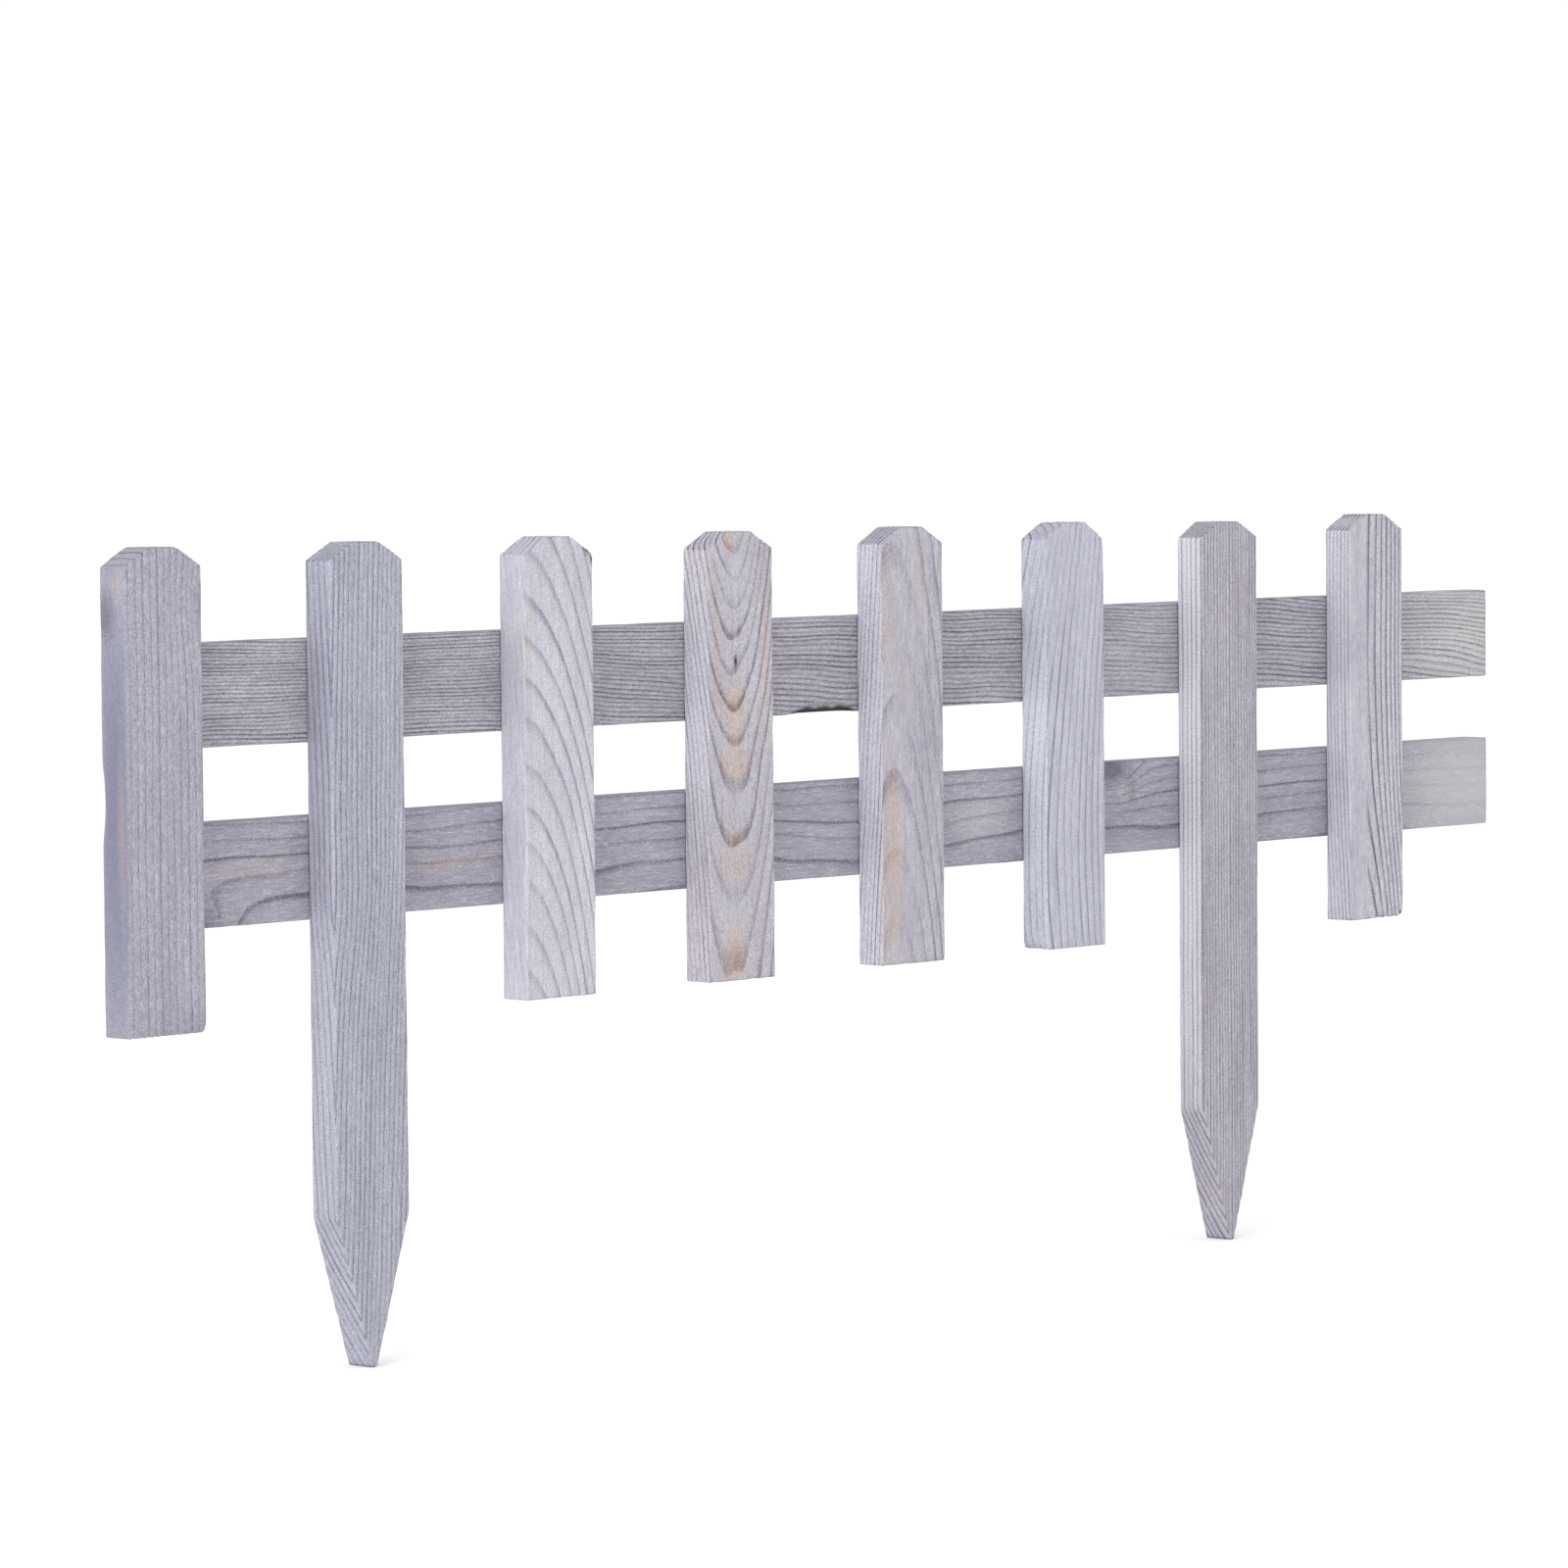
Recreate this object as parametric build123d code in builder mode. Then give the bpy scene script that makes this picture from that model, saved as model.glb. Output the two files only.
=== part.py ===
"""Low picket fence panel that edges a garden bed, in millimetres.

Eight upright boards stand in a row on the front of two flat rails. Two of the boards are long
stakes with pointed ends that go into the ground and hold the panel up. The other boards end
above the ground. The rails stop short behind the first board and run on past the last one, so
that the rails of two panels meet end to end behind one board.

The origin is the middle of the blunt tip of the left stake. +X runs along the fence, +Z is up
and -Y is the side that faces away from the bed, where the boards are.
"""
from build123d import *
import os

# Boards
board_width = 51.0
board_thickness = 18.0
board_edge_ease = 1.0
picket_length = 238.0

# Heads, the same on every board
head_flat_width = 18.0
head_drop = 9.0

# Stakes. The right one was nailed on with its head a little below the others.
stake_length = 415.0
right_stake_below_heads = 2.0
point_length = 77.0
point_tip_width = 4.0

# Places of the boards along the fence, counted from the left
board_count = 8
board_pitch = 137.5
stake_numbers = (2, 7)

# Rails
rail_width = 52.0
rail_thickness = 18.0
rail_edge_ease = 1.0
rail_end_inset = 20.0
top_rail_below_heads = 48.0
bottom_rail_above_feet = 49.0

# What follows from those sizes
head_level = stake_length
foot_level = head_level - picket_length
board_front = -board_thickness / 2
board_back = board_thickness / 2
first_board_middle = -(stake_numbers[0] - 1) * board_pitch
rail_start = first_board_middle - board_width / 2 + rail_end_inset
rail_length = board_count * board_pitch
top_rail_bottom = head_level - top_rail_below_heads - rail_width
bottom_rail_bottom = foot_level + bottom_rail_above_feet

PARTS_FOLDER = "parts"


def board_middle(number):
    """Where the middle of a board lies along the fence."""
    return first_board_middle + (number - 1) * board_pitch


def front_plane(middle):
    """The plane of the boards' front faces, seen from the front, at one board's middle."""
    return Plane(origin=(middle, board_front, 0), x_dir=(1, 0, 0), z_dir=(0, -1, 0))


def head_points(top_level):
    """The outline of a head, from its right shoulder over the flat top to its left one."""
    shoulder_level = top_level - head_drop
    return [
        (board_width / 2, shoulder_level),
        (head_flat_width / 2, top_level),
        (-head_flat_width / 2, top_level),
        (-board_width / 2, shoulder_level),
    ]


def ease_long_edges(board):
    """Break the four upright arrises of a board by a small chamfer."""
    upright_edges = board.edges().filter_by(Axis.Z)
    chamfer(upright_edges, length=board_edge_ease)


def make_picket(middle):
    """A short board with a bevelled head and a square foot."""
    foot_points = [(-board_width / 2, foot_level), (board_width / 2, foot_level)]
    with BuildPart() as picket:
        with BuildSketch(front_plane(middle)):
            with BuildLine():
                Polyline(*foot_points, *head_points(head_level), close=True)
            make_face()
        extrude(amount=-board_thickness)
        ease_long_edges(picket)
    return picket


def make_stake(middle, top_level):
    """A long board with a bevelled head and a lower end cut to a blunt point."""
    point_outline = [
        (-board_width / 2, point_length),
        (-point_tip_width / 2, 0),
        (point_tip_width / 2, 0),
        (board_width / 2, point_length),
    ]
    with BuildPart() as stake:
        with BuildSketch(front_plane(middle)):
            with BuildLine():
                Polyline(*point_outline, *head_points(top_level), close=True)
            make_face()
        extrude(amount=-board_thickness)
        ease_long_edges(stake)
    return stake


def make_rail(bottom_level):
    """A flat rail on edge, with its front face against the backs of the boards."""
    end_middle = (rail_start, board_back + rail_thickness / 2, bottom_level + rail_width / 2)
    end_plane = Plane(origin=end_middle, x_dir=(0, 1, 0), z_dir=(1, 0, 0))
    with BuildPart() as rail:
        with BuildSketch(end_plane):
            Rectangle(rail_thickness, rail_width)
        extrude(amount=rail_length)
        chamfer(rail.edges().filter_by(Axis.X), length=rail_edge_ease)
    return rail


def save(piece, name):
    """Label a finished piece and write its STEP file."""
    piece.part.label = name
    export_step(piece.part, f"{PARTS_FOLDER}/{name}.step")


os.makedirs(PARTS_FOLDER, exist_ok=True)

left_stake, right_stake = stake_numbers
stake_tops = {left_stake: head_level, right_stake: head_level - right_stake_below_heads}

for number in range(1, board_count + 1):
    if number in stake_numbers:
        save(make_stake(board_middle(number), stake_tops[number]), f"stake_{number}")
    else:
        save(make_picket(board_middle(number)), f"picket_{number}")

save(make_rail(top_rail_bottom), "top_rail")
save(make_rail(bottom_rail_bottom), "bottom_rail")
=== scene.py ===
# %% [markdown]
# # A grey-washed picket fence panel for a garden bed
#
# The real object is eight softwood boards nailed to two rails. All of its looks come from the
# wood: growth rings that stand in ridges because the wood was brushed, a thin grey wash that the
# soft wood drinks more of than the hard rings, knots, chipped corners and small nail heads on
# the back. This script rebuilds each board as a fine mesh that carries those ridges, and gives
# it a finish that follows its own rings.

# %% The frame
import math
import random
from collections import namedtuple

import bmesh
import bpy
from mathutils import Matrix, Vector, noise


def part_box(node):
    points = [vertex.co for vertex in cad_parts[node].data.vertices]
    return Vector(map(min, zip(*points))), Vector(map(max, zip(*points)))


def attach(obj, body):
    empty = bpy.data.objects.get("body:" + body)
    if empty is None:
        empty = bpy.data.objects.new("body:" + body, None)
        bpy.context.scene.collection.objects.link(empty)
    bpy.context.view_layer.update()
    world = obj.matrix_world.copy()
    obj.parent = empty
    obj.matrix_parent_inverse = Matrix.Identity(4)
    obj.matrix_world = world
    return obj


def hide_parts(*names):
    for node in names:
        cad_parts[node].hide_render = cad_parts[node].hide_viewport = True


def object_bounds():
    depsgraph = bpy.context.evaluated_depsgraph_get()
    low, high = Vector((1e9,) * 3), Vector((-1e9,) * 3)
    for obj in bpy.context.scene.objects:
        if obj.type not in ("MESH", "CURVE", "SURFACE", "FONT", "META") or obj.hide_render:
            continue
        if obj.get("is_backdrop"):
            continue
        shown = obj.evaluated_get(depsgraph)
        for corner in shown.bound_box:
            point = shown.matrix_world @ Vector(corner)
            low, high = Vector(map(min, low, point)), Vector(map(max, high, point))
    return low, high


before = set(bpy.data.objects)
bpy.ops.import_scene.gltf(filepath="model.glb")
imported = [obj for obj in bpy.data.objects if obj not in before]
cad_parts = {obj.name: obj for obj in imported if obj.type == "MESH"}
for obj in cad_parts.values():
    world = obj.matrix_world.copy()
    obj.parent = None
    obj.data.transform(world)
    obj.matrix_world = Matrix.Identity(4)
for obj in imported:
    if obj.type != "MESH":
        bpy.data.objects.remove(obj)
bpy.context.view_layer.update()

MM = 0.001

# %% [markdown]
# ## The camera
#
# The panel was photographed with a long lens from the front left and slightly above. With a long
# lens near and far pickets differ little in size, so the camera stands over three metres away. A
# camera in Blender looks down its own -Z axis: it is tipped up to the horizon first, then turned
# about the vertical, and last it is rolled by the half degree that the picture is out of level.

# %% Camera
CAMERA_PLACE = Vector((-2.433, -2.511, 0.480))
CAMERA_TURN = math.radians(47.61)
CAMERA_DOWN = math.radians(3.09)
CAMERA_ROLL = math.radians(-0.47)
LENS_MM = 160.1
SENSOR_MM = 36

camera_data = bpy.data.cameras.new("camera")
camera_data.lens = LENS_MM
camera_data.sensor_width = SENSOR_MM
camera = bpy.data.objects.new("camera", camera_data)
bpy.context.scene.collection.objects.link(camera)
camera.matrix_world = (
    Matrix.Translation(CAMERA_PLACE)
    @ Matrix.Rotation(-CAMERA_TURN, 4, "Z")
    @ Matrix.Rotation(math.radians(90) - CAMERA_DOWN, 4, "X")
    @ Matrix.Rotation(CAMERA_ROLL, 4, "Z")
)
bpy.context.scene.camera = camera
print("The camera is", round(CAMERA_PLACE.length, 2), "m from the left stake's tip")

# %% [markdown]
# ## Knots
#
# A place in a board is measured in the board's own millimetres: across its width, deep behind its
# front face, and along its length from the middle of a short board. A knot is the foot of a branch.
# It pushes the growth rings aside and has narrow rings of its own. One with a negative push lies
# hidden in the wood, and only draws the rings to it.

# %% Knots
Knot = namedtuple("Knot", "across deep along reach push")
KNOT_STRETCH = 1.5
KNOT_FADE = 2.5
KNOT_RING_WIDTH = 1.3


def knot_distance(knot, across, deep, along):
    """How far a place is from a knot's middle, in knot sizes. Knots are longer along the grain."""
    lengthwise = (along - knot.along) / KNOT_STRETCH
    return math.hypot(across - knot.across, deep - knot.deep, lengthwise) / knot.reach


def knot_swell(knot, across, deep, along):
    """How far a knot pushes the rings aside, in millimetres."""
    away = knot_distance(knot, across, deep, along)
    return knot.push * math.exp(-away * away / KNOT_FADE)


sample_knot = Knot(0, 0, 0, reach=10, push=6)
print("At its rim that knot pushes rings", round(knot_swell(sample_knot, 10, 0, 0), 1), "mm aside")

# %% [markdown]
# ## Growth rings
#
# A board is a slice of a trunk. The rings are tubes round the pith, so a place in the board lies
# on the ring that its distance from the pith line says. Where the pith is far to one side, the
# face shows straight lines. Where it lies before or behind the face and leans towards or away from
# it, the face shows nested arches. One rule therefore gives the lines on the front, on the edges
# and on the sawn ends, and they meet at every corner as they do in real wood.

# %% The ring rule
Grain = namedtuple(
    "Grain", "pith_across pith_deep lean_across lean_deep bow ring_width wobble seed"
)
RIPPLE_SHARE = 0.25
YEAR_DIFFERENCE = 0.2
GROOVE_IN_YEAR = 0.88


def waver(width, length, shift, across, deep, along):
    """Smooth noise in waves of a width and a length, in millimetres, from about -1 to 1."""
    return noise.noise(Vector((across / width, deep / width, along / length + shift)))


def ring_count(grain, knots, across, deep, along):
    """How many growth rings lie between the pith and a place in a board."""
    for knot in knots:
        away = knot_distance(knot, across, deep, along)
        if away < 1 and knot.push > 0:
            return away * knot.reach / KNOT_RING_WIDTH
    pith_across = grain.pith_across + grain.lean_across * along
    pith_deep = grain.pith_deep + grain.lean_deep * along + grain.bow * along * along / 100
    distance = math.hypot(across - pith_across, deep - pith_deep)
    sway = waver(60, 150, grain.seed * 7.3, across, deep, along)
    ripple = waver(14, 45, grain.seed * 3.1, across, deep, along)
    distance += grain.wobble * (sway + RIPPLE_SHARE * ripple)
    distance += sum(knot_swell(knot, across, deep, along) for knot in knots)
    rings = distance / grain.ring_width
    good_years = noise.noise(Vector((rings * 0.45, grain.seed * 5.7, 0)))
    return rings + YEAR_DIFFERENCE * good_years


def groove_shape(rings):
    """0 on the crown of a ring's ridge, falling to 1 in the groove along its dark summer wood."""
    return 0.5 + 0.5 * math.cos(2 * math.pi * (rings - GROOVE_IN_YEAR))


even_grain = Grain(0, 0, 0, 0, 0, ring_width=3, wobble=0, seed=1)
print("30 mm from the pith", round(ring_count(even_grain, [], 30, 0, 0), 2), "rings of 3 mm lie")

# %% [markdown]
# ## Sawing a board
#
# Each board starts as a block. The head and the point are cut with planes, as a saw would do it,
# and the open cuts are closed. A small bevel takes the sharpness off the arrises. Last, the
# block is sliced by many parallel planes. The slices change nothing in its shape, but they give
# it enough points to carry ridges.

# %% Sawing tools
CUT_TOLERANCE = 1e-6
SLICE_TOLERANCE = 0.05 * MM


def all_of(block):
    """Every point, edge and face of a block."""
    return block.verts[:] + block.edges[:] + block.faces[:]


def sawn_blank(low, high):
    """A plain block of wood between two corners."""
    block = bmesh.new()
    bmesh.ops.create_cube(block, size=1)
    bmesh.ops.scale(block, vec=high - low, verts=block.verts)
    bmesh.ops.translate(block, vec=(low + high) / 2, verts=block.verts)
    return block


def saw_off(block, place, outward):
    """Cut away what lies beyond a plane, and close the cut."""
    cut = bmesh.ops.bisect_plane(
        block, geom=all_of(block), dist=CUT_TOLERANCE, plane_co=place, plane_no=outward,
        clear_outer=True,
    )
    rim = [item for item in cut["geom_cut"] if isinstance(item, bmesh.types.BMEdge)]
    if rim:
        bmesh.ops.edgeloop_fill(block, edges=rim)


def ease(block, edges, width):
    """Round sharp edges by a small bevel."""
    bmesh.ops.bevel(
        block, geom=edges, offset=width, offset_type="OFFSET", segments=2,
        profile=0.5, affect="EDGES", material=-1, clamp_overlap=True,
    )


def slice_along(block, axis, step):
    """Cut a block by parallel planes at even steps along an axis, without taking it apart."""
    places = [vert.co[axis] for vert in block.verts]
    low, high = min(places), max(places)
    slices = max(2, round((high - low) / step))
    normal = Vector([1 if index == axis else 0 for index in range(3)])
    for number in range(1, slices):
        place = normal * (low + (high - low) * number / slices)
        bmesh.ops.bisect_plane(
            block, geom=all_of(block), dist=SLICE_TOLERANCE, plane_co=place, plane_no=normal
        )


trial = sawn_blank(Vector((0, 0, 0)), Vector((1, 1, 1)))
slice_along(trial, 0, 0.25)
print("A trial block cut into four slices has", len(trial.verts), "points")
trial.free()

# %% [markdown]
# ## Chips, dents and patches
#
# Where a real corner is chipped, worn round or was bark, a small dent takes the surface back by a
# few millimetres. The finish also differs from place to place: bare tan wood, thick blue wash, pale
# patches, dark bark, and places where the ring lines are faint. Both are soft round spots with a
# place and a reach in three directions, because hard edges would look painted on. The pale patches
# are partly paler wash and partly painted light: they lighten the left sides of boards 4 to 8, and
# the rails where they run on past the last board.

# %% Dents and tints
Dent = namedtuple("Dent", "across deep along reach_across reach_deep reach_along loss")
Tint = namedtuple("Tint", "across deep along reach_across reach_deep reach_along strength")
# Of these kinds the pale patches are partly paler wash and partly painted light.
TINTS = ("tans", "blues", "pales", "darks", "faints")


def nearness(spot, across, deep, along):
    """1 in the middle of a dent or tint, falling smoothly to 0 at its edge."""
    away = math.hypot(
        (across - spot.across) / spot.reach_across,
        (deep - spot.deep) / spot.reach_deep,
        (along - spot.along) / spot.reach_along,
    )
    return max(0.0, 1 - away * away) ** 2


def tinted(tints, place):
    """How strongly all the tints of one kind colour a place together."""
    return sum(tint.strength * nearness(tint, *place) for tint in tints)


sample_dent = Dent(0, 0, 0, 2, 2, 2, loss=1)
print("Half way out a 1 mm dent is", round(nearness(sample_dent, 1, 0, 0), 2), "mm deep")

# %% [markdown]
# ## Wear and ridges
#
# Brushing leaves each ring as a low rounded ridge, with a groove along the edge of its dark summer
# wood where the wash gathers. Each point of the mesh is moved inwards, never outwards, so the
# board stays inside its sawn size. Its ring number and its patches are kept on the mesh, so that
# the colour follows the same rings as the ridges.

# %% Relief
FIBRE_RELIEF = 0.12
FIBRE_SPACING = 1 / 1.3
ARRIS_WEAR = 0.5
END_GRAIN_WEAR = 0.8
FLAT_FACE = 0.95


def scoured_depth(looks, rings, place, on_arris, on_end):
    """How far brushing and wear took the surface back, in mm. End grain wears deeper."""
    seed = looks.grain.seed
    fibre = 0.5 + 0.5 * waver(FIBRE_SPACING, 16, seed, *place)
    clear = 1 - min(1.0, tinted(looks.faints, place))
    ridge = looks.ridge * clear * (1 + END_GRAIN_WEAR * on_end)
    depth = ridge * groove_shape(rings) + FIBRE_RELIEF * fibre
    if on_arris:
        depth += ARRIS_WEAR * max(0.0, waver(9, 22, seed, *place))
    return depth + sum(dent.loss * nearness(dent, *place) for dent in looks.dents)


def carry_wood(block, looks, along_axis, measure):
    """Give every point its ring number and patches, and take it back to the worn surface."""
    block.normal_update()
    marks = {mark: block.verts.layers.float.new(mark) for mark in ("ring", "knot", "end", *TINTS)}
    moves = []
    for vert in block.verts:
        place = measure(vert.co)
        rings = ring_count(looks.grain, looks.knots, *place)
        in_knots = [1 - knot_distance(knot, *place) for knot in looks.knots if knot.push > 0]
        vert[marks["ring"]] = rings
        vert[marks["knot"]] = max([0.0] + in_knots)
        vert[marks["end"]] = abs(vert.normal[along_axis])
        for tint in TINTS:
            vert[marks[tint]] = tinted(getattr(looks, tint), place)
        on_arris = max(abs(part) for part in vert.normal) < FLAT_FACE
        depth = scoured_depth(looks, rings, place, on_arris, vert[marks["end"]])
        moves.append((vert, vert.normal * depth * MM))
    for vert, move in moves:
        vert.co -= move


print("Fibres stand up to", FIBRE_RELIEF, "mm high, and an arris wears by up to", ARRIS_WEAR, "mm")

# %% [markdown]
# ## From block to object
#
# A block becomes a mesh object that is shaded smoothly, apart from real corners, so that the
# ridges look round although each one has only a few faces. A piece of wood then stands for its
# CAD node and rides on the panel.

# %% Finished pieces
CORNER = math.radians(50)


def as_object(block, name, material):
    """Turn a block into an object of one material."""
    mesh = bpy.data.meshes.new(name)
    block.to_mesh(mesh)
    block.free()
    mesh.shade_smooth()
    mesh.set_sharp_from_angle(angle=CORNER)
    mesh.materials.append(material)
    piece = bpy.data.objects.new(name, mesh)
    bpy.context.scene.collection.objects.link(piece)
    print(name, "has", len(mesh.polygons), "faces")
    return piece


def finished_piece(block, name, node, material):
    """Turn a block into an object that stands for its CAD node."""
    piece = as_object(block, name, material)
    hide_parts(node)
    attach(piece, "root")
    return piece


print("Corners of over", round(math.degrees(CORNER)), "degrees stay crisp")

# %% [markdown]
# ## Colours and nodes
#
# All colours are written as the eye reads them on a screen, and one function turns them into the
# linear values that Blender mixes. A second one adds a node to a material. It gives back the
# node's output, so that this can go straight into the next node.

# %% Node helpers
def linear(hex_colour):
    """An sRGB colour such as #b4b2c0 as linear red, green, blue and alpha."""
    parts = [int(hex_colour[start:start + 2], 16) / 255 for start in (1, 3, 5)]
    turned = [
        part / 12.92 if part <= 0.04045 else ((part + 0.055) / 1.055) ** 2.4 for part in parts
    ]
    return (*turned, 1.0)


def add_node(tree, kind, settings=None, out=0, **inputs):
    """Add a node with its settings, fill its inputs with values or links, and give one output.

    An input is called by its name, with _ for each space, or by its number, such as at0.
    """
    node = tree.nodes.new(kind)
    for key, value in (settings or {}).items():
        setattr(node, key, value)
    for key, value in inputs.items():
        called = int(key[2:]) if key.startswith("at") else key.replace("_", " ")
        if isinstance(value, bpy.types.NodeSocket):
            tree.links.new(value, node.inputs[called])
        else:
            node.inputs[called].default_value = value
    return node.outputs[out] if node.outputs else None


# Settings that several nodes share. A Mix node takes colours at 6 and 7 and gives one out at 2.
ADD = {"operation": "ADD"}
MULTIPLY = {"operation": "MULTIPLY"}
HELD = {"clamp": True}
COVERS = {"data_type": "RGBA", "blend_type": "MIX", "clamp_factor": True}
SOAKS_IN = {"data_type": "RGBA", "blend_type": "MULTIPLY", "clamp_factor": True}
MIXED_COLOUR = 2
print("Half grey on a screen is", round(linear("#808080")[0], 2), "of full light")

# %% [markdown]
# ### Noise along the grain
#
# Wood is never even, but what differs is drawn out along the grain. One noise serves for all of
# it, with four widths: fibres, specks of wash, streaks, and clouds where the wash is thicker.

# %% Stretched noise
# Real fibres and specks are finer. They are drawn this coarse so that they show in a picture.
FIBRE_WIDTH = 0.75 * MM
SPECK_WIDTH = 0.62 * MM
STREAK_WIDTH = 2.4 * MM
CLOUD_WIDTH = 24.0 * MM
NOISE_ROUGHNESS = 0.6


def stretched_noise(tree, coordinates, along_axis, width, stretch, detail, shift):
    """Noise drawn out along the grain, with spots of a real width."""
    scale = [1 / width] * 3
    scale[along_axis] = 1 / (width * stretch)
    placed = add_node(
        tree, "ShaderNodeMapping", {"vector_type": "POINT"},
        Vector=coordinates, Location=(shift, shift * 1.7, shift * 2.3), Scale=scale,
    )
    return add_node(
        tree, "ShaderNodeTexNoise", out="Fac",
        Vector=placed, Scale=1.0, Detail=detail, Roughness=NOISE_ROUGHNESS,
    )


def thinned(tree, amount, shares):
    """An amount made smaller, or a little larger, by shares that are read from other values."""
    for value, start, end, at_start, at_end in shares:
        share = add_node(
            tree, "ShaderNodeMapRange", HELD,
            Value=value, From_Min=start, From_Max=end, To_Min=at_start, To_Max=at_end,
        )
        amount = add_node(tree, "ShaderNodeMath", MULTIPLY, at0=amount, at1=share)
    return amount


print("Fibres are", round(FIBRE_WIDTH / MM, 2), "mm wide, clouds", round(CLOUD_WIDTH / MM), "mm")

# %% [markdown]
# ### The dark line of each ring
#
# In spring a tree grows wide pale wood, and in summer a thin dark band that ends sharply. The ring
# number's fraction says when in its year a place grew. The line rises softly, then crisply, and
# ends at once. Some years are darker than others, streaks and specks break the line up, and it is
# stronger on the sawn ends.

# %% Summer wood
LINE_WIDTH = 0.95
LINE_END = 0.93
LINE_GONE = 0.985
SOFT_SHARE = 0.16


def summer_line(tree, part, year, streak, speck, marks, looks):
    """How dark the summer wood is, from the part of its year and the year that a place grew in."""
    edge = LINE_WIDTH / looks.grain.ring_width
    palest = (1 - looks.uneven) * looks.line
    year = add_node(tree, "ShaderNodeMath", ADD, at0=year, at1=looks.grain.seed * 31.0)
    chance = add_node(
        tree, "ShaderNodeTexWhiteNoise", {"noise_dimensions": "1D"}, out="Value", W=year
    )
    soft = add_node(
        tree, "ShaderNodeMapRange", HELD,
        Value=part, From_Min=0.4, From_Max=0.9, To_Min=0.0, To_Max=SOFT_SHARE,
    )
    crisp = add_node(
        tree, "ShaderNodeMapRange", HELD, Value=part, To_Min=0.0, To_Max=1 - SOFT_SHARE,
        From_Min=LINE_END - edge, From_Max=LINE_END - 0.3 * edge,
    )
    rise = add_node(tree, "ShaderNodeMath", ADD, at0=soft, at1=crisp)
    return thinned(tree, rise, (
        # read from, over a range, share at its start and at its end
        (part, LINE_END + 0.01, LINE_GONE, 1.0, 0.0),
        (chance, 0.0, 1.0, palest, looks.line),
        (streak, 0.32, 0.52, 0.55, 1.0),
        (marks["faints"], 0.0, 1.0, 1.0, 0.0),
        (marks["end"], 0.2, 0.5, 1.0, 1.7),
        (speck, 0.38, 0.6, 1.0, 0.7),
    ))


print("A summer line is", LINE_WIDTH, "mm wide")

# %% [markdown]
# ### The finish: grey-washed, brushed spruce
#
# The wood is spruce, brushed and then stained with a thin water-based wash. The wash is matt. It
# lies lilac-grey on the spring wood, sinks into the scoured grooves beside the summer wood and
# looks darker there, and lets a little of the tan wood through where a ring runs nearly level
# with the face. The material is built as a painter works, in coats. Each row of a list lays one
# colour on what is there: what its amount is read from, over which range, how much is laid on at
# both ends of that range, the colour, and whether it covers or soaks in.

# %% The coats
RAISED_FIBRE = "#dcdce4"
THICK_BLUE = "#6b6d80"
BARE_TAN = "#b9a08d"
# Pale wash on the rails. Where the rails run on past the last board it is painted light.
PALE_WASH_AND_PAINTED_LIGHT = "#c2c0bf"
KNOT_GREY = "#66636f"
BARK_DARK = "#363132"
# A board's pale colour is laid by its pale patches, which are partly paler wash and partly painted
# light.
Colours = namedtuple("Colours", "wash groove pale", defaults=[PALE_WASH_AND_PAINTED_LIGHT])


def coated(tree, base, coats):
    """A colour with coats laid on it, one after the other."""
    for value, start, end, at_start, at_end, colour, way in coats:
        amount = add_node(
            tree, "ShaderNodeMapRange", HELD,
            Value=value, From_Min=start, From_Max=end, To_Min=at_start, To_Max=at_end,
        )
        base = add_node(
            tree, "ShaderNodeMix", way, MIXED_COLOUR, at0=amount, at6=base, at7=colour
        )
    return base


def wood_coats(wood, marks, colours):
    """The coats on a board, from the wash up to the specks."""
    groove = linear(colours.groove)
    return (
        (wood["cloud"], 0.36, 0.66, 0.0, 0.24, groove, COVERS),
        (wood["streak"], 0.48, 0.74, 0.0, 0.3, groove, COVERS),
        (wood["fibre"], 0.5, 0.72, 0.0, 0.4, groove, COVERS),
        (wood["fibre"], 0.28, 0.46, 0.3, 0.0, linear(RAISED_FIBRE), COVERS),
        (marks["end"], 0.2, 0.5, 0.0, 0.3, groove, COVERS),
        (marks["blues"], 0.0, 1.0, 0.0, 1.0, linear(THICK_BLUE), COVERS),
        (wood["bare"], 0.0, 1.0, 0.0, 1.0, linear(BARE_TAN), COVERS),
        # Pale patches: partly paler wash, partly painted light that lightens the left sides of
        # boards 4 to 8 and the rails past the last board.
        (marks["pales"], 0.0, 1.0, 0.0, 1.0, linear(colours.pale), COVERS),
        (wood["line"], 0.0, 1.0, 0.0, 1.0, groove, SOAKS_IN),
        (marks["knot"], 0.0, 0.6, 0.0, 0.75, linear(KNOT_GREY), COVERS),
        (marks["darks"], 0.0, 1.0, 0.0, 1.0, linear(BARK_DARK), COVERS),
        (marks["faints"], 0.0, 1.0, 1.0, 0.55, wood["specks"], SOAKS_IN),
    )


print("The darkest coat is bark, with", round(linear(BARK_DARK)[0], 3), "of full light")

# %% [markdown]
# ### The whole material
#
# The bump adds the relief that is too fine for the mesh: fibres and specks stand up, and the
# summer lines lie low. A wash that is matt scatters light widely and hardly mirrors, so it is
# rough and has a low specular level.

# %% Washed spruce
WASH_ROUGHNESS = 0.86
WASH_SPECULAR = 0.25
LINE_SINKS = -1.2
BUMP_STRENGTH = 0.7
BUMP_HEIGHT = 0.3 * MM


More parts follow.
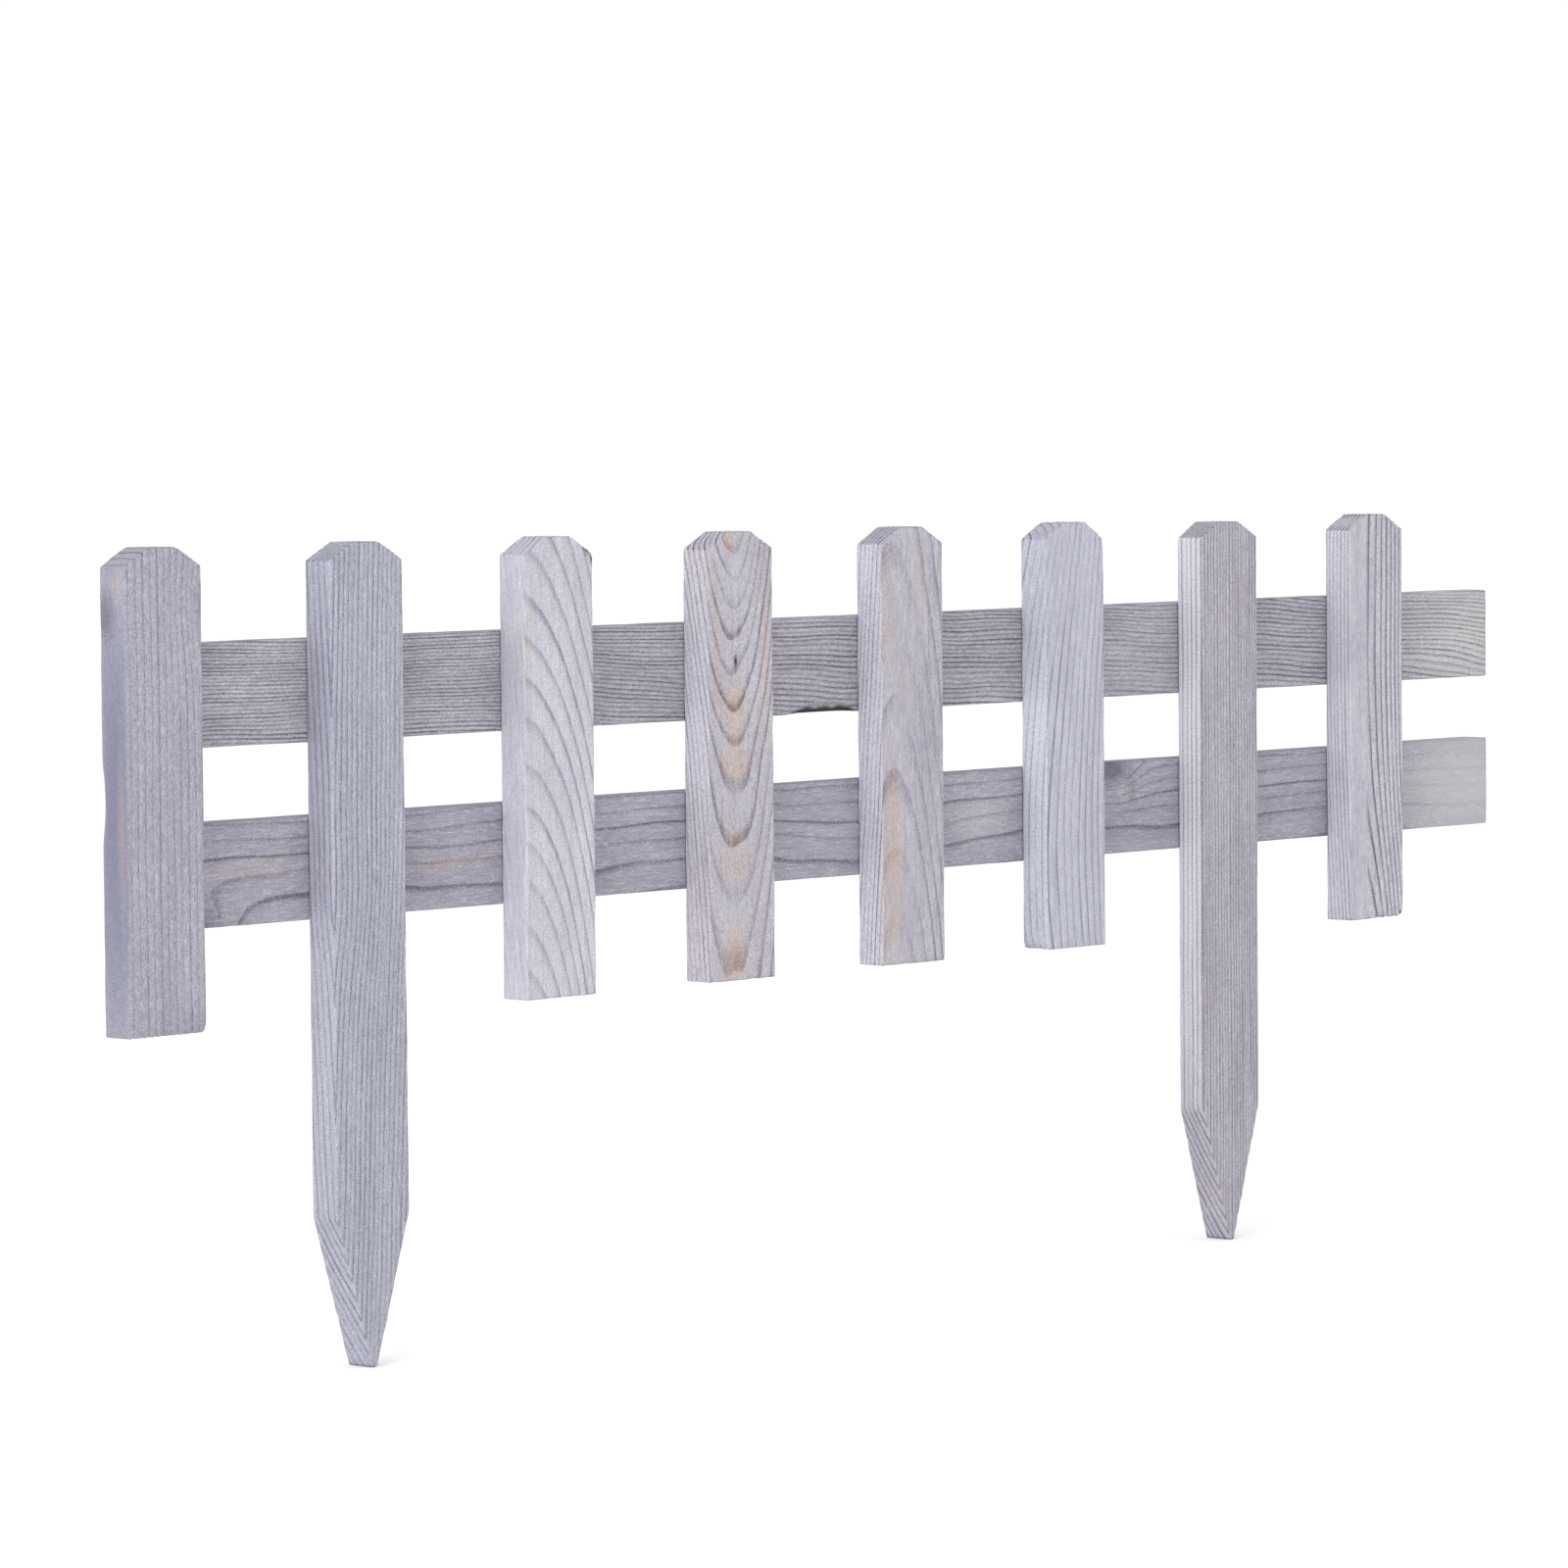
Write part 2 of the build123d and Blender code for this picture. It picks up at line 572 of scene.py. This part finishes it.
def washed_spruce(name, looks, along_axis):
    """Brushed spruce under a thin matt grey wash."""
    material = bpy.data.materials.new(name)
    material.use_nodes = True
    tree = material.node_tree
    tree.nodes.clear()
    marks = {
        mark: add_node(tree, "ShaderNodeAttribute", {"attribute_name": mark}, out="Fac")
        for mark in ("ring", "knot", "end", *TINTS)
    }
    part = add_node(tree, "ShaderNodeMath", {"operation": "FRACT"}, at0=marks["ring"])
    year = add_node(tree, "ShaderNodeMath", {"operation": "FLOOR"}, at0=marks["ring"])
    place = add_node(tree, "ShaderNodeTexCoord", out="Object")
    seed = looks.grain.seed
    fibre = stretched_noise(tree, place, along_axis, FIBRE_WIDTH, 8, 3.0, seed)
    speck = stretched_noise(tree, place, along_axis, SPECK_WIDTH, 1.5, 2.0, seed + 13)
    streak = stretched_noise(tree, place, along_axis, STREAK_WIDTH, 26, 3.0, seed + 5)
    cloud = stretched_noise(tree, place, along_axis, CLOUD_WIDTH, 2.5, 4.0, seed + 9)
    line = summer_line(tree, part, year, streak, speck, marks, looks)
    bare = thinned(tree, marks["tans"], (
        (part, 0.1, 0.8, 0.4, 1.0),
        (streak, 0.34, 0.58, 0.5, 1.0),
    ))
    specks = add_node(
        tree, "ShaderNodeMapRange", HELD,
        Value=speck, From_Min=0.32, From_Max=0.68, To_Min=0.73, To_Max=1.24,
    )
    wood = {
        "cloud": cloud, "streak": streak, "fibre": fibre,
        "line": line, "bare": bare, "specks": specks,
    }
    base = coated(tree, linear(looks.colours.wash), wood_coats(wood, marks, looks.colours))

    rough = add_node(tree, "ShaderNodeMath", ADD, at0=fibre, at1=speck)
    height = add_node(
        tree, "ShaderNodeMath", {"operation": "MULTIPLY_ADD"}, at0=line, at1=LINE_SINKS, at2=rough
    )
    bump = add_node(
        tree, "ShaderNodeBump", Strength=BUMP_STRENGTH, Distance=BUMP_HEIGHT, Height=height
    )
    surface = add_node(
        tree, "ShaderNodeBsdfPrincipled", Base_Color=base, Roughness=WASH_ROUGHNESS,
        Specular_IOR_Level=WASH_SPECULAR, Normal=bump,
    )
    add_node(tree, "ShaderNodeOutputMaterial", Surface=surface)
    return material


print("The wash has roughness", WASH_ROUGHNESS, "and bumps of", round(BUMP_HEIGHT / MM, 1), "mm")

# %% [markdown]
# ## What each board looks like
#
# Every board is sawn in the same way. What differs is the tree: each board gets its own pith line,
# ring width, knots, chips and patches, chosen by looking at that board. The line is how dark its
# summer wood is, uneven is how much the years differ, and ridge is the height of its ridges in
# millimetres.
#
# The first two boards have their pith far to the left, so their lines run nearly straight. The left
# side of the first one is coloured a darker blue, and has a knot and bare tan wood near its back
# edge.

# %% Boards 1 and 2
Looks = namedtuple(
    "Looks", "grain colours line uneven ridge knots dents tans blues pales darks faints",
    defaults=[()] * 7,
)
board_looks = {}
board_looks["picket_1"] = Looks(
    Grain(-95, 4, 0.0, 0.0, 0.0, 4.6, 1.8, 1), Colours("#a19fac", "#7a7983"),
    line=0.62, uneven=0.6, ridge=0.14,
    knots=[Knot(-26, 15, 85.5, 8.5, 3), Knot(31, 2, 90, 11, 10)],
    dents=[Dent(-26, 18, -4, 5, 9, 24, 1.5), Dent(25.5, 4, -119, 4, 9, 5, 1.5)],
    tans=[
        Tint(-27, 5, 101, 3.6, 9, 16, 0.6),
        Tint(-27, 19, 40, 3.4, 5, 170, 1.3),
        Tint(-27, 4, -15, 3.2, 5, 70, 0.8),
    ],
    blues=[Tint(-27, 9, -10, 3.2, 34, 230, 1.5), Tint(10, 0, -122, 30, 20, 24, 0.3)],
    faints=[Tint(-27, 9, -10, 3.2, 30, 190, 0.9)],
)
board_looks["stake_2"] = Looks(
    Grain(-80, -45, 0.03, 0.03, 0.0, 2.9, 1.8, 2), Colours("#a7a7b4", "#7b7b8a"),
    line=0.75, uneven=0.55, ridge=0.22,
    knots=[Knot(-12, 0, -62, 16, -3)],
    blues=[Tint(-27, 12, 60, 5, 18, 170, 0.3), Tint(-18, 0, -20, 6, 6, 130, 0.12)],
)
print("Board 1 grew", board_looks["picket_1"].grain.ring_width, "mm a year")

# %% [markdown]
# The third board's pith leans away behind it, so half arches sweep up from its left edge, and its
# upper right corner is chipped. The fourth board is the liveliest. Its pith lies before the face,
# leans and bows, which gives nested tongues with bare tan wood in them.

# %% Boards 3 and 4
board_looks["picket_3"] = Looks(
    Grain(-30, 80, 0.0, 0.168, 0.0, 3.7, 1.2, 3), Colours("#bfbec8", "#8a8996"),
    line=0.78, uneven=0.45, ridge=0.14,
    dents=[Dent(26, 2, 112, 4, 6, 5, 1.6)],
    tans=[Tint(-22, 0, 60, 8, 5, 60, 0.3), Tint(-22, 0, -30, 8, 5, 40, 0.3)],
    darks=[Tint(21.5, 0, 113, 5, 5, 4, 1.2), Tint(25, 0, 107, 2.5, 5, 5, 1.2)],
    blues=[Tint(-27, 9, 90, 5, 30, 90, 0.2)],
    faints=[Tint(-26, 9, 0, 22, 20, 400, 0.85)],
)
board_looks["picket_4"] = Looks(
    Grain(-5, -42, 0.0, 0.14, 0.04, 3.2, 3.2, 4), Colours("#b5b1b8", "#827e8e", "#cdceda"),
    line=0.95, uneven=0.7, ridge=0.18,
    tans=[
        Tint(-5, 0, 26, 16, 6, 24, 1.0),
        Tint(-5, 0, -2, 18, 6, 16, 0.9),
        Tint(-5, 0, -52, 18, 6, 20, 0.9),
        Tint(-6, 0, -108, 18, 6, 28, 0.8),
        Tint(-9, 0, 112, 4, 5, 11, 1.0),
        Tint(-20, 0, 60, 6, 5, 60, 0.5),
        Tint(18, 0, 50, 7, 5, 60, 0.5),
    ],
    darks=[Tint(-4, 0, 50, 2.2, 4, 6, 1.2)],
    # Pale patches: painted light on the left side, and a little paler wash on the front near the
    # head.
    pales=[Tint(-27, 9, 22, 3.2, 24, 110, 0.8), Tint(-4, 0, 95, 10, 6, 16, 0.2)],
    faints=[
        Tint(-4, 0, 98, 14, 6, 16, 0.8),
        Tint(-5, 0, -22, 12, 5, 14, 0.7),
        Tint(-5, 0, -82, 12, 5, 18, 0.8),
    ],
)
print("Board 4 has", len(board_looks["picket_4"].tans), "patches of bare tan wood")

# %% [markdown]
# The fifth board has long arches with tan wood in them, and its wash is thick enough to soften its
# other lines. The sixth has a few dark lines that lean, its years differ most, and its upper right
# and lower left corners are chipped.

# %% Boards 5 and 6
board_looks["picket_5"] = Looks(
    Grain(-14, -76, 0.0, -0.075, 0.0, 3.0, 1.4, 5), Colours("#b1aeb6", "#77748a", "#c9cad5"),
    line=0.95, uneven=0.6, ridge=0.22,
    tans=[
        Tint(-20, 0, 70, 10, 7, 50, 0.55),
        Tint(-19, 0, -62, 15, 5, 84, 0.85),
        Tint(5, 0, 90, 8, 7, 30, 0.35),
        Tint(-6, 0, 32, 10, 7, 18, 0.35),
    ],
    blues=[Tint(8, 0, 10, 22, 10, 60, 0.16)],
    # The pale patch is painted light that lightens the left side.
    pales=[Tint(-27, 9, 0, 3.2, 24, 300, 0.8)],
    faints=[
        Tint(0, 0, 0, 40, 5, 300, 0.65),
        Tint(-12, 0, 65, 18, 4, 24, 0.5),
        Tint(-12, 0, 12, 16, 4, 20, 0.5),
        Tint(-14, 0, -84, 14, 4, 40, 0.6),
    ],
)
board_looks["picket_6"] = Looks(
    Grain(-55, 60, 0.0, -0.09, -0.075, 3.9, 2.2, 6), Colours("#b8b9c4", "#7f7d8c", "#d2d3de"),
    line=0.88, uneven=0.85, ridge=0.14,
    # The pale patch is painted light that lightens the left side.
    pales=[Tint(-27, 9, -10, 3.2, 24, 110, 1.0)],
    faints=[Tint(-4, 0, 95, 36, 10, 80, 0.55)],
    dents=[Dent(26, 9, 111, 8, 14, 8, 2.6), Dent(-26, 10, -119, 6, 12, 5, 3.0)],
)
print("Board 6 is chipped in", len(board_looks["picket_6"].dents), "places")

# %% [markdown]
# The seventh board grew slowest, so its rings are the narrowest, and its left side is lightened
# by painted light. The eighth has the highest ridges, a smooth left third and a torn foot, where
# its rings bend towards a hidden knot below the cut.

# %% Boards 7 and 8
board_looks["stake_7"] = Looks(
    Grain(-90, -50, 0.0, 0.0, 0.0, 2.3, 1.0, 7), Colours("#aeaab4", "#787482", "#d0d0d8"),
    line=0.8, uneven=0.4, ridge=0.22,
    # The pale patch is painted light that lightens the left side.
    pales=[Tint(-27, 9, 10, 3.2, 24, 330, 1.25)],
)
board_looks["picket_8"] = Looks(
    Grain(-20, 44.85, 0.0, 0.0, 0.0, 2.6, 0.9, 8), Colours("#bcb9c2", "#6f6e84", "#d2d3de"),
    line=1.0, uneven=0.2, ridge=0.36,
    knots=[Knot(4, 4, -150, 34, -9)],
    dents=[
        Dent(3, 0, -119, 3, 9, 3, 4.0),
        Dent(11, 0, -119, 2.5, 7, 3, 3.4),
        Dent(18, 0, -119, 2, 6, 3, 3.6),
        Dent(24, 1, -119, 2.5, 8, 3, 4.4),
    ],
    blues=[Tint(-17, 0, 20, 8, 5, 110, 0.1)],
    # The pale patch is painted light that lightens the left side.
    pales=[Tint(-27, 9, -10, 3.2, 24, 230, 0.5)],
    faints=[
        Tint(-17, -1, 0, 13, 4.5, 500, 2.0),
        Tint(-27, 11, 0, 3.2, 16, 500, 0.8),
        Tint(-18, 9, 115, 13, 22, 9, 0.8),
    ],
)
print("The ridges of board 8 are", board_looks["picket_8"].ridge, "mm high")

# %% [markdown]
# ## Making the boards
#
# The head is cut by one sloping plane on each side, and a stake's point by one more on each side.
# Along the board the slices are 4 mm apart, because grain changes slowly that way. Across its face
# they are under 1 mm apart, so that each ridge gets a few of them.

# %% The boards
HEAD_FLAT = 18.0 * MM
HEAD_DROP = 9.0 * MM
POINT_LENGTH = 77.0 * MM
POINT_TIP = 4.0 * MM
HALF_PICKET = 119 * MM
ARRIS = 0.9 * MM
BOARD_SLICES = ((2, 4 * MM), (1, 1 * MM), (0, 0.85 * MM))


def board_measure(low, high):
    """A function that turns a point into the board's own millimetres."""
    middle = (low + high) / 2
    length_middle = high.z - HALF_PICKET

    def measure(point):
        return ((point.x - middle.x) / MM, (point.y - low.y) / MM, (point.z - length_middle) / MM)

    return measure


def make_board(node, looks, pointed):
    """An upright board, with its head and perhaps its point, worn and marked."""
    low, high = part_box(node)
    low, high = Vector(low), Vector(high)
    middle_x, half = (low.x + high.x) / 2, (high.x - low.x) / 2
    block = sawn_blank(low, high)
    for side in (-1, 1):
        shoulder = Vector((middle_x + side * half, 0, high.z - HEAD_DROP))
        slope = Vector((side * HEAD_DROP, 0, half - HEAD_FLAT / 2))
        saw_off(block, shoulder, slope.normalized())
        if pointed:
            tip = Vector((middle_x + side * POINT_TIP / 2, 0, low.z))
            taper = Vector((side * POINT_LENGTH, 0, -(half - POINT_TIP / 2)))
            saw_off(block, tip, taper.normalized())
    ease(block, block.edges[:], ARRIS)
    for axis, step in BOARD_SLICES:
        slice_along(block, axis, step)
    carry_wood(block, looks, 2, board_measure(low, high))
    finish = washed_spruce("washed_spruce_" + node, looks, 2)
    return finished_piece(block, node + "_board", node, finish)


for node_name, node_looks in board_looks.items():
    make_board(node_name, node_looks, node_name.startswith("stake"))

# %% [markdown]
# ## What the rails look like
#
# The rails are the same stock laid on edge, and a place along a rail is measured from the rail's
# middle. The top rail is cut close to the outside of its tree, with narrow rings that wave, and a
# ragged strip of bark was left on its lower edge. The bottom rail has wide faint rings and a few
# knots. Where they run on past the last board, both are lightened by painted light.

# %% Rail looks
# The bark strip is a row of dark dents, each with its place along the rail and its height.
BARK_STRIP = (
    (-66, 3.0), (-60, 4.6), (-54, 3.0), (-47, 5.2), (-41, 3.2), (-34, 4.8), (-28, 3.0),
)

rail_looks = {}
rail_looks["top_rail"] = Looks(
    Grain(-60, 47, 0.0, 0.05, 0.0, 1.85, 4.5, 11), Colours("#aeabb5", "#6c6874"),
    line=0.95, uneven=0.5, ridge=0.18,
    knots=[Knot(-40, 0, -45, 20, 3)],
    dents=[Dent(-26, 2, place, reach, 12, 7, 1.0) for place, reach in BARK_STRIP],
    # The pale patch is painted light where the rail runs on past the last board.
    pales=[Tint(0, 0, 525, 60, 40, 115, 0.65)],
    darks=[Tint(-26, 2, place, reach + 1, 12, 7, 2.2) for place, reach in BARK_STRIP],
    faints=[Tint(0, 0, 535, 60, 60, 120, 0.2), Tint(0, 0, 210, 60, 40, 80, 0.4)],
)
rail_looks["bottom_rail"] = Looks(
    Grain(-40, 75, 0.0, 0.0, 0.0, 5.0, 4.0, 12), Colours("#a09eaa", "#727080"),
    line=0.75, uneven=0.6, ridge=0.16,
    knots=[Knot(22, 0, 196, 10, 16), Knot(-26, 0, -511, 11, 11)],
    tans=[Tint(2, 0, -470, 7, 8, 50, 0.4), Tint(-2, 0, -330, 7, 8, 60, 0.3)],
    pales=[
        Tint(0, 0, 80, 18, 8, 40, 0.35),
        Tint(9, 0, 207, 10, 4, 5, 0.3),
        # This pale patch is painted light where the rail runs on past the last board.
        Tint(0, 0, 525, 60, 40, 115, 0.55),
    ],
    darks=[Tint(11, 0, 213, 11, 4, 5, 0.35)],
    faints=[Tint(0, 0, 535, 60, 60, 130, 0.9)],
)
print("The bark strip has", len(BARK_STRIP), "dents")

# %% [markdown]
# ## Making the rails
#
# A rail is a plain block. It is sliced like a board, only its grain runs from left to right and
# its width stands upright, so the slices and the measure go by other axes.

# %% The rails
RAIL_SLICES = ((0, 5 * MM), (1, 1 * MM), (2, 0.8 * MM))


def rail_measure(low, high):
    """A function that turns a point into the rail's own millimetres."""
    middle = (low + high) / 2

    def measure(point):
        return ((point.z - middle.z) / MM, (point.y - low.y) / MM, (point.x - middle.x) / MM)

    return measure


def make_rail(node, looks):
    """A flat rail, worn and marked."""
    low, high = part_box(node)
    low, high = Vector(low), Vector(high)
    block = sawn_blank(low, high)
    ease(block, block.edges[:], ARRIS)
    for axis, step in RAIL_SLICES:
        slice_along(block, axis, step)
    carry_wood(block, looks, 0, rail_measure(low, high))
    finish = washed_spruce("washed_spruce_" + node, looks, 0)
    return finished_piece(block, node + "_batten", node, finish)


for node_name, node_looks in rail_looks.items():
    make_rail(node_name, node_looks)

# %% [markdown]
# ## Nails
#
# The boards hang on plain wire nails driven from behind, two at each crossing. Their zinc has gone
# dull, and it is greyer and rougher in worn spots. Zinc is a metal, so the shader is metallic, and
# the spots come from the same noise as the wood's, here not drawn out.

# %% Zinc
DULL_ZINC = "#8d9093"
WORN_ZINC = "#64676b"
SPOT_WIDTH = 0.9 * MM
SPOT_EDGES = {"From_Min": 0.4, "From_Max": 0.65}


def zinc_coat():
    """Dull hot-dip zinc on the nail heads, with greyer worn spots."""
    material = bpy.data.materials.new("dull_zinc_coating")
    material.use_nodes = True
    tree = material.node_tree
    tree.nodes.clear()
    place = add_node(tree, "ShaderNodeTexCoord", out="Object")
    spots = stretched_noise(tree, place, 0, SPOT_WIDTH, 1, 4.0, 3)
    worn = add_node(
        tree, "ShaderNodeMapRange", HELD, Value=spots, **SPOT_EDGES, To_Min=0.0, To_Max=1.0
    )
    rough = add_node(
        tree, "ShaderNodeMapRange", HELD, Value=spots, **SPOT_EDGES, To_Min=0.5, To_Max=0.7
    )
    tone = add_node(
        tree, "ShaderNodeMix", COVERS, MIXED_COLOUR,
        at0=worn, at6=linear(DULL_ZINC), at7=linear(WORN_ZINC),
    )
    bump = add_node(tree, "ShaderNodeBump", Strength=0.3, Distance=0.1 * MM, Height=spots)
    surface = add_node(
        tree, "ShaderNodeBsdfPrincipled",
        Base_Color=tone, Metallic=0.9, Roughness=rough, Normal=bump,
    )
    add_node(tree, "ShaderNodeOutputMaterial", Surface=surface)
    return material


zinc = zinc_coat()
print("The zinc has", len(zinc.node_tree.nodes), "nodes")

# %% [markdown]
# The flat heads lie level with the back of the rails. They are set a little out of line, as they
# are when a hand sets them by eye. The heads are low cylinders with an eased rim, and they are
# sunk into the wood. Where a rail ends behind a board, the nails keep to what the two share.

# %% Nail heads
NAIL_HEAD_WIDTH = 6.5 * MM
NAIL_HEAD_DEPTH = 1.2 * MM
NAIL_HEAD_SUNK = 0.05 * MM
NAIL_HEAD_SIDES = 24
NAIL_RIM = 0.2 * MM
# The nails of a crossing stand this share of its width to the left and right of its middle.
NAIL_ACROSS = 0.24
NAIL_UP = 13.0 * MM
# By how many millimetres a nail may stray, and what turn in radians makes an edge a rim.
STRAY_ACROSS = 1.5
STRAY_UP = 2
RIM_ANGLE = 1


def make_nails(rail_node, chance, material):
    """The flat heads of the nails on the back of one rail."""
    rail_low, rail_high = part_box(rail_node)
    heads = bmesh.new()
    depth = rail_high[1] - NAIL_HEAD_DEPTH / 2 - NAIL_HEAD_SUNK
    for board_node in board_looks:
        board_low, board_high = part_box(board_node)
        left, right = max(board_low[0], rail_low[0]), min(board_high[0], rail_high[0])
        for side in (-1, 1):
            across = (left + right) / 2 + side * NAIL_ACROSS * (right - left)
            across += chance.uniform(-STRAY_ACROSS, STRAY_ACROSS) * MM
            height = (rail_low[2] + rail_high[2]) / 2 - side * NAIL_UP
            height += chance.uniform(-STRAY_UP, STRAY_UP) * MM
            place = Matrix.Translation(Vector((across, depth, height)))
            bmesh.ops.create_cone(
                heads, cap_ends=True, segments=NAIL_HEAD_SIDES, depth=NAIL_HEAD_DEPTH,
                radius1=NAIL_HEAD_WIDTH / 2, radius2=NAIL_HEAD_WIDTH / 2,
                matrix=place @ Matrix.Rotation(math.radians(90), 4, "X"),
            )
    rims = [edge for edge in heads.edges if abs(edge.calc_face_angle(0)) > RIM_ANGLE]
    ease(heads, rims, NAIL_RIM)
    piece = as_object(heads, rail_node + "_nails", material)
    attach(piece, "root")
    return piece


nail_chance = random.Random(5)
for node_name in rail_looks:
    make_nails(node_name, nail_chance, zinc)

# %% [markdown]
# ## Floor
#
# The panel stands on a matt white floor that reaches out of sight, as in a product picture. It is
# only part of the stage, not of the panel.

# %% Floor
FLOOR_SIZE = 40

bpy.ops.mesh.primitive_plane_add(size=FLOOR_SIZE, location=(0, 0, 0))
floor = bpy.context.object
floor.name = "floor"
floor_paint = bpy.data.materials.new("matt_white_floor_paint")
floor_paint.use_nodes = True
floor_surface = floor_paint.node_tree.nodes["Principled BSDF"]
floor_surface.inputs["Base Color"].default_value = linear("#f8f8f8")
floor_surface.inputs["Roughness"].default_value = 0.9
floor.data.materials.append(floor_paint)
floor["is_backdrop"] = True
print("The floor is", FLOOR_SIZE, "m wide")

# %% [markdown]
# ## Light
#
# A white sky gives the even light of a product picture. One large soft lamp, to the left, above
# and a little in front of the panel, adds just enough direction for the ridges to show.

# %% Light
SKY_STRENGTH = 1.1
LAMP_WIDTH = 3.6
LAMP_HEIGHT = 2.4
LAMP_WATTS = 165
LAMP_PLACE = Vector((-4.9, -1.7, 2.1))
LAMP_AIM = Vector((0.4, 0.0, 0.3))

world = bpy.data.worlds.new("white_sky")
world.use_nodes = True
world.node_tree.nodes["Background"].inputs["Color"].default_value = (1, 1, 1, 1)
world.node_tree.nodes["Background"].inputs["Strength"].default_value = SKY_STRENGTH
bpy.context.scene.world = world

lamp_data = bpy.data.lights.new("soft_lamp", "AREA")
lamp_data.shape = "RECTANGLE"
lamp_data.size = LAMP_WIDTH
lamp_data.size_y = LAMP_HEIGHT
lamp_data.energy = LAMP_WATTS
lamp = bpy.data.objects.new("soft_lamp", lamp_data)
bpy.context.scene.collection.objects.link(lamp)
lamp_turn = (LAMP_AIM - LAMP_PLACE).to_track_quat("-Z", "Y")
lamp.matrix_world = Matrix.Translation(LAMP_PLACE) @ lamp_turn.to_matrix().to_4x4()
bpy.context.scene.view_settings.view_transform = "Standard"
print("The lamp hangs", round((LAMP_PLACE - LAMP_AIM).length, 2), "m from the panel")

# %% [markdown]
# ## Sizes
#
# The box of the dressed model is printed. Wear only takes wood away, so it has to lie inside the
# box of the bare CAD model.

# %% Sizes for the record
visual_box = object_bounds()
dressed_size = [round((high - low) / MM, 1) for low, high in zip(*visual_box)]
print("The dressed part measures", dressed_size, "mm")
